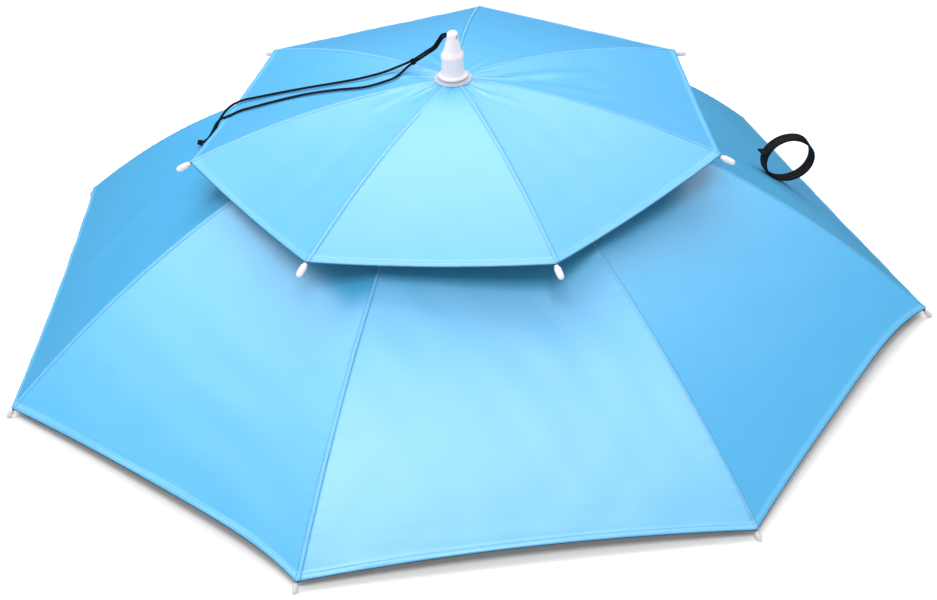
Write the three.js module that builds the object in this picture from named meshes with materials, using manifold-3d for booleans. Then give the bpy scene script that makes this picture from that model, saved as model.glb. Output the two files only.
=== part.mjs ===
import * as THREE from "three";
import { mergeVertices } from "three/addons/utils/BufferGeometryUtils.js";
import Module from "manifold-3d";

// Umbrella hat: two seven-panel cloth tiers on steel ribs, a head band hung on wires below.
// Millimetres, +Z up. The origin is on the hat's axis, in the plane that the lower tips stand on.

const wasm = await Module();
wasm.setup();

const panelCount = 7;
const clothWall = 1.2; // sewn cloth with its coating
const clothGap = 0.35; // between a rib and the cloth above it
const seatGap = 0.3; // between pieces that touch

// Lower tier, heights measured from its hem corners
const lowerReach = 465;
const lowerRise = 242.9;
const lowerStartSlope = 0.186; // share of the rise that a straight rib would take
const lowerFirstAngle = 147.48;
const lowerHemHollow = 6;
const lowerPanelSag = 3;
const ventRadius = 130;

// Upper tier
const upperReach = 261.3;
const upperRise = 57;
const upperStartSlope = 0.1375;
const upperFirstAngle = 134.7;
const upperHemDroop = 4;
const upperPanelSag = 1;
const tierGap = 9.1; // from the peak of the lower ridges up to the peak of the upper ones
const crownHoleRadius = 5.4;

// How far each rib is bent off the even spacing, in degrees, and its reach as a share
const lowerRibTable = [
  { turn: -0.1, reach: 1.013 },
  { turn: 0.2, reach: 1 },
  { turn: -0.4, reach: 0.997 },
  { turn: 0.3, reach: 1.004 },
  { turn: -0.7, reach: 0.988 },
  { turn: 1.6, reach: 0.999 },
  { turn: 0, reach: 1 },
];
const upperRibTable = [
  { turn: 0, reach: 0.988 },
  { turn: 1.7, reach: 0.987 },
  { turn: 0.4, reach: 1.015 },
  { turn: -0.5, reach: 1.005 },
  { turn: 3.3, reach: 0.993 },
  { turn: -0.1, reach: 1.015 },
  { turn: -0.4, reach: 0.998 },
];

const lowerRibRadius = 1.2;
const upperRibRadius = 1;
const ribInTip = 5.5; // how deep a rib goes into its tip

const lowerTipLength = 10;
const lowerTipRadius = 2.4;
const tipFoot = 0.3; // from a tip's middle down to the ground
const upperTipLength = 15;
const upperTipRadius = 3.2;

const hubRadius = 16;
const hubDepth = 19;
const hubEdge = 1.5; // bevel round the bottom
const studRadius = 4.2;
const studLength = 15;
const washerRadius = 18.5;
const washerThickness = 2.2;
const washerRim = 0.9; // thickness at the outer edge
const washerSlant = 0.35; // how far the outer edge hangs below the middle
const ferruleRadius = 10.8;
const ferruleFlange = 14.5;
const flangeEdge = 1.6; // thickness of the flange
const ferruleHeight = 47;
const eyeRadius = 2.5;
const eyeBelowTop = 5;
const eyeAngle = 150;

const bandRadius = 92;
const bandWall = 2;
const bandHeight = 35;
const bandBottom = 85;
const stayRadius = 1;
const stayReach = 170; // where a stay meets its rib
const stayOnBand = 24; // length of wire that lies on the band
const stayBend = 9; // from the band's top edge up to the corner that the bend rounds

const strapPanel = 4;
const strapAcross = 0.356; // share of the panel's width
const strapAlong = 0.784; // share of the rib's length
const strapRingRadius = 26; // to the middle of the webbing
const strapWidth = 11;
const strapWall = 1.6;
const strapTail = 7; // free end that sticks out of the ring

const cordRadius = 1;
const sliderLength = 5;
const sliderWall = 0.9;
const endKnotRadius = 3.4;
const eyeKnotRadius = 2.1;

// Points that the two strands of the cord follow, from the eye to the end knot
const upperStrandPoints = [
  [0.8, -0.5, 308.1],
  [-4.3, 2.5, 308.1],
  [-8.2, 5.2, 306.2],
  [-12.7, 8.3, 298.7],
  [-16.9, 11.4, 290.9],
  [-24.5, 16.4, 283.2],
  [-31.4, 20.5, 276.4],
  [-38.4, 24.9, 269.7],
  [-44.8, 28.8, 264.8],
  [-51.7, 31.5, 260.6],
  [-67, 28.9, 256.3],
  [-90.3, 27.4, 251.6],
  [-117.7, 32.9, 244.6],
  [-141.4, 41.3, 237.0],
  [-169.7, 53.8, 226.1],
  [-194.4, 66.6, 215.1],
  [-211.3, 76.5, 206.6],
  [-221.1, 73.2, 203.5],
  [-226.5, 71, 199.6],
  [-231.5, 68, 194.3],
  [-235.2, 68, 187.5],
  [-239.7, 73.9, 176.5],
  [-246.5, 87, 160.5],
  [-253.5, 98, 150.2],
  [-256.4, 101.3, 147.8],
];
const lowerStrandPoints = [
  [0.8, -0.5, 305.7],
  [-4.1, 2.4, 305.8],
  [-7.2, 4.4, 304.0],
  [-11.1, 7.2, 297.3],
  [-15.3, 10.3, 289.5],
  [-23.2, 15.5, 281.4],
  [-30.1, 19.6, 274.6],
  [-37.1, 24, 267.9],
  [-42.2, 26.6, 263.1],
  [-46.5, 24, 260.6],
  [-50.5, 19, 259.4],
  [-57, 12.5, 258.3],
  [-67, 8.3, 256.9],
  [-84.3, 5, 254.3],
  [-113.3, 15.3, 247.0],
  [-141, 25.9, 238.5],
  [-168.9, 34.9, 228.4],
  [-195.3, 43.3, 217.6],
  [-211.8, 50.2, 209.6],
  [-223.9, 49.4, 204.6],
  [-229.3, 50.5, 202.2],
  [-233.5, 55, 196.8],
  [-237, 62, 189.5],
  [-241.9, 72.2, 176.5],
  [-248.7, 86, 160.5],
  [-255.7, 96.9, 150.2],
  [-258, 99.6, 147.8],
];
const sliderPoint = [-37.8, 24.5, 268.8];
const sliderAhead = [-44, 28, 262.9];
const endKnotPoint = [-259.3, 103.4, 146.5];

const material = (colour, roughness, metalness = 0) =>
  new THREE.MeshStandardMaterial({ color: colour, roughness, metalness });
const clothBlue = material(0x8fd3fa, 0.7);
const clothPale = material(0x9fdcff, 0.7);
const steel = material(0xb9bcc0, 0.3, 1);
const greyPlastic = material(0xb4bac0, 0.5);
const whitePlastic = material(0xf1f3f5, 0.35);
const clearPlastic = material(0xdfe6ee, 0.2);
const blackWebbing = material(0x0b0d12, 0.8);
const blackCord = material(0x0a0a0f, 0.8);
const elastic = material(0x1a1c20, 0.9);

const group = new THREE.Group();

function add(name, geometry, look) {
  const mesh = new THREE.Mesh(geometry, look);
  mesh.name = name;
  group.add(mesh);
  return mesh;
}

// Joining and cutting

function toSolid(geometry) {
  const bare = geometry.clone();
  bare.deleteAttribute("normal");
  bare.deleteAttribute("uv");
  const merged = mergeVertices(bare, 1e-4);
  return new wasm.Manifold(
    new wasm.Mesh({
      numProp: 3,
      vertProperties: new Float32Array(merged.attributes.position.array),
      triVerts: new Uint32Array(merged.index.array),
    }),
  );
}

function toGeometry(solid) {
  const mesh = solid.getMesh();
  const geometry = new THREE.BufferGeometry();
  geometry.setAttribute("position", new THREE.BufferAttribute(mesh.vertProperties, 3));
  geometry.setIndex(new THREE.BufferAttribute(mesh.triVerts, 1));
  return geometry;
}

// Cloth tiers

function tier(sizes) {
  const ribs = [];
  for (let i = 0; i < panelCount; i++) {
    const row = sizes.table[i % sizes.table.length];
    const degrees = sizes.firstAngle + (360 / panelCount) * i + row.turn;
    ribs.push({ angle: THREE.MathUtils.degToRad(degrees), reach: sizes.reach * row.reach });
  }
  return { ...sizes, ribs };
}

const lowerTier = tier({
  reach: lowerReach,
  rise: lowerRise,
  startSlope: lowerStartSlope,
  firstAngle: lowerFirstAngle,
  hemHollow: lowerHemHollow,
  hemDroop: 0,
  panelSag: lowerPanelSag,
  ribRadius: lowerRibRadius,
  table: lowerRibTable,
});
const upperTier = tier({
  reach: upperReach,
  rise: upperRise,
  startSlope: upperStartSlope,
  firstAngle: upperFirstAngle,
  hemHollow: 0,
  hemDroop: upperHemDroop,
  panelSag: upperPanelSag,
  ribRadius: upperRibRadius,
  table: upperRibTable,
});

// Fall of a rib per millimetre of reach, at a share of its length
function fall(own, share) {
  const { rise, reach, startSlope } = own;
  return (rise / reach) * (startSlope + 2 * (1 - startSlope) * share);
}

// Thickness of the cloth measured straight down
function wallDown(own, share) {
  const steep = fall(own, share) / Math.cos(Math.PI / panelCount);
  return clothWall * Math.hypot(1, steep);
}

// From the ridge of the cloth to the middle of the rib, square to the rib
function ribDepth(own, share) {
  const pitch = Math.atan(fall(own, share));
  const ridge = Math.atan(Math.tan(Math.PI / panelCount) * Math.sin(pitch));
  return wallDown(own, share) * Math.cos(pitch) + (own.ribRadius + clothGap) / Math.cos(ridge);
}

// How far along the rib's line a tip starts, clear of the cloth's corner
function tipStart(own) {
  return wallDown(own, 1) * Math.sin(Math.atan(fall(own, 1))) + seatGap;
}

const lowerPitch = Math.atan(fall(lowerTier, 1));
const lowerTipEnd = tipStart(lowerTier) + lowerTipLength;
const lowerHemHeight =
  ribDepth(lowerTier, 1) * Math.cos(lowerPitch) + lowerTipEnd * Math.sin(lowerPitch) + tipFoot;
lowerTier.hemHeight = lowerHemHeight;
upperTier.hemHeight = lowerHemHeight + lowerRise + tierGap - upperRise;

function ridgeHeight(own, share) {
  const { hemHeight, rise, startSlope } = own;
  return hemHeight + rise * (1 - startSlope * share - (1 - startSlope) * share * share);
}

function ridgePoint(own, rib, share) {
  const { angle, reach } = own.ribs[rib % panelCount];
  const radius = reach * share;
  const height = ridgeHeight(own, share);
  return new THREE.Vector3(radius * Math.cos(angle), radius * Math.sin(angle), height);
}

// Outer face of the cloth: across goes from one rib to the next, along from the axis to the hem
function clothPoint(own, panel, across, along) {
  const bulge = 4 * across * (1 - across);
  const share = along - (own.hemHollow / own.reach) * bulge * along ** 4;
  const point = ridgePoint(own, panel, share).lerp(ridgePoint(own, panel + 1, share), across);
  point.z -= bulge * (own.hemDroop * along * along + own.panelSag * 4 * along * (1 - along));
  return point;
}

function clothNormal(own, panel, across, along) {
  const step = 0.001;
  const at = (a, b) => clothPoint(own, panel, across + a * step, along + b * step);
  const side = at(1, 0).sub(at(-1, 0));
  const outward = at(0, 1).sub(at(0, -1));
  return outward.cross(side).normalize();
}

function canopyGeometry(own, startRadius, columns, rows) {
  const around = panelCount * columns;
  const start = startRadius / own.reach;
  const positions = [];
  for (const face of [0, 1]) {
    for (let row = 0; row <= rows; row++) {
      const along = start + ((1 - start) * row) / rows;
      for (let column = 0; column < around; column++) {
        const panel = Math.floor(column / columns);
        const point = clothPoint(own, panel, (column % columns) / columns, along);
        point.z -= face * wallDown(own, along);
        positions.push(point.x, point.y, point.z);
      }
    }
  }
  const at = (face, row, column) => (face * (rows + 1) + row) * around + (column % around);
  const indices = [];
  const quad = (a, b, c, d) => indices.push(a, b, c, a, c, d);
  for (let column = 0; column < around; column++) {
    const next = column + 1;
    for (let row = 0; row < rows; row++) {
      quad(at(0, row, column), at(0, row + 1, column), at(0, row + 1, next), at(0, row, next));
      quad(at(1, row, column), at(1, row, next), at(1, row + 1, next), at(1, row + 1, column));
    }
    quad(at(0, 0, column), at(0, 0, next), at(1, 0, next), at(1, 0, column));
    quad(at(0, rows, column), at(1, rows, column), at(1, rows, next), at(0, rows, next));
  }
  const geometry = new THREE.BufferGeometry();
  geometry.setAttribute("position", new THREE.Float32BufferAttribute(positions, 3));
  geometry.setIndex(indices);
  return geometry;
}

// Ribs and tips

function roundSection(radius, sides) {
  const corners = [];
  for (let i = 0; i < sides; i++) {
    const angle = (2 * Math.PI * i) / sides;
    corners.push(new THREE.Vector2(radius * Math.cos(angle), radius * Math.sin(angle)));
  }
  return new THREE.Shape(corners);
}

function rodGeometry(path, radius, sides, steps) {
  const section = roundSection(radius, sides);
  return new THREE.ExtrudeGeometry(section, { steps, extrudePath: path, bevelEnabled: false });
}

// Middle of a rib in its own upright plane: x outward, y up. Past the corner it runs on straight.
function ribPlanePoint(own, rib, share) {
  const held = Math.min(share, 1);
  const pitch = Math.atan(fall(own, held));
  const depth = ribDepth(own, held);
  const past = (share - held) * own.reach;
  const { reach } = own.ribs[rib];
  return new THREE.Vector2(
    reach * held - depth * Math.sin(pitch) + past * Math.cos(pitch),
    ridgeHeight(own, held) - depth * Math.cos(pitch) - past * Math.sin(pitch),
  );
}

function ribPoint(own, rib, share) {
  const flat = ribPlanePoint(own, rib, share);
  const { angle } = own.ribs[rib];
  return new THREE.Vector3(flat.x * Math.cos(angle), flat.x * Math.sin(angle), flat.y);
}

class RibCurve extends THREE.Curve {
  constructor(own, rib, start, end) {
    super();
    Object.assign(this, { own, rib, start, end });
  }
  getPoint(t, target = new THREE.Vector3()) {
    return target.copy(ribPoint(this.own, this.rib, this.start + (this.end - this.start) * t));
  }
}

const ribSides = 6;
const ribSteps = 10;

function ribGeometry(own, rib) {
  const inner = (ribDepth(own, 0) + own.ribRadius) * Math.sin(Math.atan(fall(own, 0)));
  const start = (hubRadius + seatGap + inner) / own.ribs[rib].reach;
  const end = 1 + (tipStart(own) + ribInTip) / own.reach;
  return rodGeometry(new RibCurve(own, rib, start, end), own.ribRadius, ribSides, ribSteps);
}

// Turned cap with a blind bore: column one is the radius, column two the place along its length
const tipSides = 8;
const tipOutline = [
  { radius: 0.86, along: 0 },
  { radius: 1, along: 0.08 },
  { radius: 1, along: 0.62 },
  { radius: 0.88, along: 0.84 },
  { radius: 0.55, along: 0.96 },
  { radius: 0, along: 1 },
];

function tipGeometry(own, rib, tipRadius, length) {
  const bore = own.ribRadius + seatGap;
  const depth = ribInTip + seatGap;
  const profile = [new THREE.Vector2(0, depth), new THREE.Vector2(bore, depth)];
  profile.push(new THREE.Vector2(bore, 0));
  for (const row of tipOutline) {
    profile.push(new THREE.Vector2(row.radius * tipRadius, row.along * length));
  }
  const geometry = new THREE.LatheGeometry(profile, tipSides);
  const start = ribPoint(own, rib, 1 + tipStart(own) / own.reach);
  const end = ribPoint(own, rib, 1 + (tipStart(own) + length) / own.reach);
  const direction = end.sub(start).normalize();
  const turn = new THREE.Quaternion().setFromUnitVectors(new THREE.Vector3(0, 1, 0), direction);
  geometry.applyQuaternion(turn);
  geometry.translate(start.x, start.y, start.z);
  return geometry;
}

// The ground, as a block that flattens what would reach below it
function standOnGround(geometry) {
  const side = 3 * lowerReach;
  const ground = new THREE.BoxGeometry(side, side, lowerHemHeight);
  ground.translate(0, 0, -lowerHemHeight / 2);
  return toGeometry(toSolid(geometry).subtract(toSolid(ground)));
}

function addTier(own, prefix, tipRadius, tipLength, tipLook) {
  for (let rib = 0; rib < panelCount; rib++) {
    const number = rib + 1;
    add(`${prefix}_rib_${number}`, ribGeometry(own, rib), steel);
    const tip = standOnGround(tipGeometry(own, rib, tipRadius, tipLength));
    add(`${prefix}_tip_${number}`, tip, tipLook);
  }
}

// Hub, washer and ferrule on the axis

function turned(rows, sides) {
  const profile = rows.map(([radius, height]) => new THREE.Vector2(radius, height));
  const geometry = new THREE.LatheGeometry(profile, sides);
  geometry.rotateX(Math.PI / 2);
  return geometry;
}

// Height of the upper cloth's inner and outer face near the axis
const hubShare = hubRadius / (upperReach * Math.cos(Math.PI / panelCount) ** 2);
const hubTop =
  ridgeHeight(upperTier, hubShare) - wallDown(upperTier, hubShare) - upperPanelSag - seatGap;
const washerBottom = ridgeHeight(upperTier, crownHoleRadius / upperReach) + seatGap;
const ferruleBottom = washerBottom + washerThickness + seatGap;
const ferruleTop = ferruleBottom + ferruleHeight;
const studTop = ferruleBottom + studLength;
const boreRadius = studRadius + seatGap;
const crownSides = 20;

function hubGeometry() {
  const bottom = hubTop - hubDepth;
  return turned(
    [
      [0, bottom],
      [hubRadius - hubEdge, bottom],
      [hubRadius, bottom + hubEdge],
      [hubRadius, hubTop],
      [studRadius, hubTop],
      [studRadius, studTop],
      [0, studTop],
    ],
    crownSides,
  );
}

function washerGeometry() {
  return turned(
    [
      [boreRadius, washerBottom],
      [washerRadius, washerBottom - washerSlant],
      [washerRadius, washerBottom + washerRim - washerSlant],
      [ferruleFlange, washerBottom + washerThickness],
      [boreRadius, washerBottom + washerThickness],
      [boreRadius, washerBottom],
    ],
    crownSides,
  );
}

// Outline of the ferrule above its flange: radius as a share of the barrel, height of the whole
const ferruleOutline = [
  { radius: 1.04, along: 0.1 },
  { radius: 1, along: 0.16 },
  { radius: 1.01, along: 0.47 },
  { radius: 0.93, along: 0.53 },
  { radius: 0.79, along: 0.58 },
  { radius: 0.62, along: 0.76 },
  { radius: 0.52, along: 0.84 },
  { radius: 0.5, along: 0.95 },
  { radius: 0.37, along: 0.99 },
  { radius: 0, along: 1 },
];

function ferruleGeometry() {
  const boreTop = studTop + seatGap;
  const rows = [
    [0, boreTop],
    [boreRadius, boreTop],
    [boreRadius, ferruleBottom],
    [ferruleFlange, ferruleBottom],
    [ferruleFlange, ferruleBottom + flangeEdge],
  ];
  for (const row of ferruleOutline) {
    rows.push([row.radius * ferruleRadius, ferruleBottom + row.along * ferruleHeight]);
  }
  const eye = new THREE.CylinderGeometry(eyeRadius, eyeRadius, 3 * ferruleRadius, 16);
  eye.rotateZ(Math.PI / 2);
  eye.rotateZ(THREE.MathUtils.degToRad(eyeAngle));
  eye.translate(0, 0, ferruleTop - eyeBelowTop);
  return toGeometry(toSolid(turned(rows, crownSides)).subtract(toSolid(eye)));
}

// Head band and the wires that carry it

const bandTop = bandBottom + bandHeight;

function bandGeometry() {
  const inner = bandRadius - bandWall;
  return turned(
    [
      [inner, bandBottom],
      [bandRadius, bandBottom],
      [bandRadius, bandTop],
      [inner, bandTop],
      [inner, bandBottom],
    ],
    36,
  );
}

function stayGeometry(rib) {
  const { angle, reach } = lowerTier.ribs[rib];
  const share = stayReach / reach;
  const pitch = Math.atan(fall(lowerTier, share));
  const under = lowerRibRadius + seatGap + stayRadius;
  const top = ribPlanePoint(lowerTier, rib, share);
  top.x -= under * Math.sin(pitch);
  top.y -= under * Math.cos(pitch);
  const wireRadius = bandRadius + seatGap + stayRadius;
  const foot = bandTop - stayOnBand;
  const bendHeight = bandTop + stayBend;
  const slope = Math.atan2(top.y - bendHeight, top.x - wireRadius);
  const out = (x, z) => new THREE.Vector3(x * Math.cos(angle), x * Math.sin(angle), z);
  const path = new THREE.CurvePath();
  const low = out(wireRadius, foot);
  const bendLow = out(wireRadius, bandTop);
  const corner = out(wireRadius, bendHeight);
  const bendHigh = out(
    wireRadius + stayBend * Math.cos(slope),
    bendHeight + stayBend * Math.sin(slope),
  );
  path.add(new THREE.LineCurve3(low, bendLow));
  path.add(new THREE.QuadraticBezierCurve3(bendLow, corner, bendHigh));
  path.add(new THREE.LineCurve3(bendHigh, out(top.x, top.y)));
  return rodGeometry(path, stayRadius, 5, 14);
}

// Closure strap: a ring of webbing that stands on the cloth by one sewn spot, its free end showing

function strapGeometry() {
  const seat = clothPoint(lowerTier, strapPanel, strapAcross, strapAlong);
  const normal = clothNormal(lowerTier, strapPanel, strapAcross, strapAlong);
  const outer = strapRingRadius + strapWall / 2;
  const inner = strapRingRadius - strapWall / 2;
  const half = strapWidth / 2;
  const ring = turned(
    [
      [inner, -half],
      [outer, -half],
      [outer, half],
      [inner, half],
      [inner, -half],
    ],
    28,
  );
  const tail = new THREE.BoxGeometry(strapTail + strapWall, strapWall, strapWidth);
  tail.translate(-strapRingRadius - strapTail / 2, 0, 0);
  const strap = toGeometry(toSolid(ring).add(toSolid(tail)));
  // the ring's own axis lies level, along the hem, and its free end points at the cloth
  const axis = new THREE.Vector3(normal.y, -normal.x, 0).normalize();
  const outward = new THREE.Vector3(normal.x, normal.y, 0).normalize();
  const upward = new THREE.Vector3().crossVectors(axis, outward);
  strap.applyMatrix4(new THREE.Matrix4().makeBasis(outward, upward, axis));
  const middle = seat.addScaledVector(normal, outer + seatGap);
  strap.translate(middle.x, middle.y, middle.z);
  return strap;
}

// Cord on the upper tier

const toVectors = (points) => points.map((point) => new THREE.Vector3(...point));

function strandGeometry(points) {
  const path = new THREE.CatmullRomCurve3(toVectors(points), false, "centripetal");
  return rodGeometry(path, cordRadius, 8, 54);
}

function place(geometry, point, ahead) {
  const direction = new THREE.Vector3(...ahead).sub(new THREE.Vector3(...point)).normalize();
  const turn = new THREE.Quaternion().setFromUnitVectors(new THREE.Vector3(0, 0, 1), direction);
  geometry.applyQuaternion(turn);
  geometry.translate(...point);
  return geometry;
}

function sliderGeometry() {
  const bore = 2 * cordRadius + 2 * seatGap;
  const half = sliderLength / 2;
  const sleeve = turned(
    [
      [bore, -half],
      [bore + sliderWall, -half],
      [bore + sliderWall, half],
      [bore, half],
      [bore, -half],
    ],
    14,
  );
  return place(sleeve, sliderPoint, sliderAhead);
}

function knotGeometry(radius, point) {
  const knot = new THREE.SphereGeometry(radius, 10, 6);
  knot.translate(...point);
  return knot;
}

function eyeKnotPoint() {
  const angle = THREE.MathUtils.degToRad(eyeAngle);
  const out = -(0.5 * ferruleRadius - eyeKnotRadius * 0.8);
  return [out * Math.cos(angle), out * Math.sin(angle), ferruleTop - eyeBelowTop];
}

add("lower_canopy", canopyGeometry(lowerTier, ventRadius, 6, 12), clothBlue);
add("upper_canopy", canopyGeometry(upperTier, crownHoleRadius, 6, 8), clothPale);
addTier(lowerTier, "lower", lowerTipRadius, lowerTipLength, greyPlastic);
addTier(upperTier, "upper", upperTipRadius, upperTipLength, whitePlastic);
add("hub", hubGeometry(), whitePlastic);
add("ferrule_washer", washerGeometry(), clearPlastic);
add("ferrule", ferruleGeometry(), whitePlastic);
add("head_band", bandGeometry(), elastic);
for (let rib = 0; rib < panelCount; rib++) {
  add(`stay_${rib + 1}`, stayGeometry(rib), steel);
}
add("closure_strap", strapGeometry(), blackWebbing);
add("hang_cord_upper", strandGeometry(upperStrandPoints), blackCord);
add("hang_cord_lower", strandGeometry(lowerStrandPoints), blackCord);
add("cord_slider", sliderGeometry(), blackCord);
add("cord_end_knot", knotGeometry(endKnotRadius, endKnotPoint), blackCord);
add("cord_eye_knot", knotGeometry(eyeKnotRadius, eyeKnotPoint()), blackCord);

export default group;
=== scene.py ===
import math

import bmesh
import bpy
import numpy as np
from mathutils import Matrix, Vector


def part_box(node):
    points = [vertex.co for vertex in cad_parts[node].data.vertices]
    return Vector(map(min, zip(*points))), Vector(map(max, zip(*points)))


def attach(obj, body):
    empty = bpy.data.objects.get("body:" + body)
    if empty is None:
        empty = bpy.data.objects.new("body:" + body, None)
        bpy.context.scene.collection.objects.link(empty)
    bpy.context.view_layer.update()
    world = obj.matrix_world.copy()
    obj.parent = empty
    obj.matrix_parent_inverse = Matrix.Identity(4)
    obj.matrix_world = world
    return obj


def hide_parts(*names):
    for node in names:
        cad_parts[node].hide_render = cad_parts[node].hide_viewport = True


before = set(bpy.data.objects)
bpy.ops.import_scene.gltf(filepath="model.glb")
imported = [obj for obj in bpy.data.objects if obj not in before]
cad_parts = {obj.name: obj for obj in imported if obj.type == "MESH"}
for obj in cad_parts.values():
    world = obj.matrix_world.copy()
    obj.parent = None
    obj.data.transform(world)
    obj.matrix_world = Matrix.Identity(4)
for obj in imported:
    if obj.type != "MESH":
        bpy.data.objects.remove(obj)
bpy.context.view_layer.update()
print("frame loaded:", len(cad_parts), "nodes")


# camera, fitted until the rib tips fall where the photograph has them
photoCamera = {
    "imageWidth": 937,
    "imageHeight": 600,
    "lensInPixels": 2645.45,
    "distance": 2.6684,
    "elevation": 33.289,
    "roll": -2.873,
    "target": (0, 0, 0.01031),
    "targetPixel": (464.19, 297.75),
}


def addCamera(own):
    lift, roll = math.radians(own["elevation"]), math.radians(own["roll"])
    back = Vector((0, -math.cos(lift), math.sin(lift)))
    right = Vector((1, 0, 0))
    up = back.cross(right)
    turnedRight = math.cos(roll) * right + math.sin(roll) * up
    turnedUp = math.cos(roll) * up - math.sin(roll) * right
    lens = bpy.data.cameras.new("photo_camera")
    lens.sensor_width = 36
    lens.lens = 36 * own["lensInPixels"] / own["imageWidth"]
    lens.shift_x = (own["imageWidth"] / 2 - own["targetPixel"][0]) / own["imageWidth"]
    lens.shift_y = (own["targetPixel"][1] - own["imageHeight"] / 2) / own["imageWidth"]
    camera = bpy.data.objects.new("photo_camera", lens)
    camera.location = Vector(own["target"]) + own["distance"] * back
    camera.rotation_mode = "QUATERNION"
    camera.rotation_quaternion = Matrix((turnedRight, turnedUp, back)).transposed().to_quaternion()
    bpy.context.collection.objects.link(camera)
    bpy.context.scene.camera = camera


addCamera(photoCamera)
bpy.context.scene.view_settings.view_transform = "Standard"
print("camera placed")


fullTurn = 2 * math.pi


# the point at a radius, angle and height round the hat's axis
def aroundAxis(radius, angle, height):
    return Vector((radius * math.cos(angle), radius * math.sin(angle), height))


def colour(red, green, blue):
    return (red, green, blue, 1.0)


# a new node in either kind of tree: an input gets a value, or the socket that feeds it
def addNode(tree, kind, inputs=None, settings=None):
    made = tree.nodes.new(kind)
    for key, value in (settings or {}).items():
        setattr(made, key, value)
    for key, value in (inputs or {}).items():
        if isinstance(value, bpy.types.NodeSocket):
            tree.links.new(value, made.inputs[key])
        else:
            made.inputs[key].default_value = value
    return made


# shader maths: a wire is a socket, and sums on it add Math nodes
class Wire:
    def __init__(self, finish, socket):
        self.finish = finish
        self.socket = socket

    def maths(self, operation, *values):
        return self.finish.node("Math", dict(enumerate(values)), {"operation": operation})

    def __add__(self, other):
        return self.maths("ADD", self, other)

    def __radd__(self, other):
        return self.maths("ADD", other, self)

    def __sub__(self, other):
        return self.maths("SUBTRACT", self, other)

    def __rsub__(self, other):
        return self.maths("SUBTRACT", other, self)

    def __mul__(self, other):
        return self.maths("MULTIPLY", self, other)

    def __rmul__(self, other):
        return self.maths("MULTIPLY", other, self)

    def sine(self):
        return self.maths("SINE", self)

    def distance(self):
        return self.maths("ABSOLUTE", self)

    def larger(self, other):
        return self.maths("MAXIMUM", self, other)

    # 1 where the value is nought, falling to 0 at the width
    def near(self, width):
        inputs = {"Value": self.distance(), "From Max": width, "To Min": 1.0, "To Max": 0.0}
        return self.finish.node("MapRange", inputs, {"interpolation_type": "SMOOTHSTEP"})


class Finish:
    def __init__(self, name):
        self.material = bpy.data.materials.new(name)
        self.material.use_nodes = True
        self.tree = self.material.node_tree
        self.tree.nodes.clear()

    def node(self, kind, inputs=None, settings=None, out=0):
        plain = {key: value.socket if isinstance(value, Wire) else value for key, value in (inputs or {}).items()}
        made = addNode(self.tree, "ShaderNode" + kind, plain, settings)
        return Wire(self, made.outputs[out]) if made.outputs else None

    def objectPlace(self):
        return self.node("TexCoord", out="Object")

    def parts(self, place):
        node = self.node("SeparateXYZ", {0: place}).socket.node
        return Wire(self, node.outputs[0]), Wire(self, node.outputs[1])

    def clothPlace(self):
        return self.parts(self.node("UVMap", None, {"uv_map": "clothMap"}))

    def marked(self, name):
        return self.node("Attribute", None, {"attribute_name": name}, "Fac")

    def noise(self, scale, detail, place=None):
        return self.node("TexNoise", {"Vector": place or self.objectPlace(), "Scale": scale, "Detail": detail})

    def blend(self, amount, first, second):
        return self.node("Mix", {0: amount, 6: first, 7: second}, {"data_type": "RGBA"}, 2)

    def bump(self, height, depth, strength):
        return self.node("Bump", {"Height": height, "Distance": depth, "Strength": strength})

    def close(self, inputs):
        self.node("OutputMaterial", {"Surface": self.node("BsdfPrincipled", inputs)})
        return self.material


clothLook = {
    "threadPitch": 0.0011,
    "weaveDepth": 0.00009,
    "needleWidth": 0.0008,
    "creaseWidth": 0.0009,
    "roughness": 0.39,
    "coatRoughness": 0.41,
    "coatIor": 1.7,
    "lining": colour(0.03, 0.034, 0.042),
    "liningThin": colour(0.055, 0.062, 0.075),
    # painted highlight: lighter tone laid on the doubled cloth of seams and hems
    "doubledHighlight": colour(0.4, 0.8, 1.0),
    # painted shade: darker tone laid along needle lines and seam edges
    "creaseShadeTone": colour(0.012, 0.13, 0.33),
    "thread": colour(0.5, 0.85, 1.0),
}


def clothFinish(name, sunny, shaded, proofing):
    finish, look = Finish(name), clothLook
    across, along = finish.clothPlace()
    turns = fullTurn / look["threadPitch"]
    weave = (across * turns).sine() * (along * turns).sine()
    slub = finish.noise(900.0, 1.0)
    broad = finish.noise(5.0, 3.0)
    fine = finish.noise(60.0, 2.0)
    inside = finish.marked("inside")
    needleShade = finish.marked("needleAway").near(look["needleWidth"])
    creaseShade = finish.marked("creaseAway").near(look["creaseWidth"])
    # painted highlight: the doubled cloth of seams and hems is painted lighter, as a lit raised roll looks;
    # painted shade darkens the needle lines and both folded edges of each seam, unevenly along them
    seamLightNoise = finish.noise(16.0, 2.0) * 1.5 - 0.25
    tone = finish.blend(broad * 0.7 + fine * 0.3, sunny, shaded)
    # painted highlight on the doubled cloth of seams and hems
    tone = finish.blend(finish.marked("doubledHighlight") * (0.1 - seamLightNoise * 0.05), tone, look["doubledHighlight"])
    # painted shade along the needle lines and both edges of the seam roll
    tone = finish.blend(needleShade * 0.08 + creaseShade * seamLightNoise * 0.75, tone, look["creaseShadeTone"])
    tone = finish.blend((weave + 1.0) * 0.012, tone, look["thread"])
    coat = finish.blend(fine * 0.5, look["lining"], look["liningThin"])
    return finish.close({
        "Base Color": finish.blend(inside, tone, coat),
        "Roughness": look["roughness"] + broad * 0.12 - inside * 0.08,
        "Normal": finish.bump(weave * 0.5 + slub * 0.35 + fine * 1.6, look["weaveDepth"], 0.6),
        "Specular IOR Level": 1.0,
        "Coat Weight": proofing,
        "Coat Roughness": look["coatRoughness"],
        "Coat IOR": look["coatIor"],
    })


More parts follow.
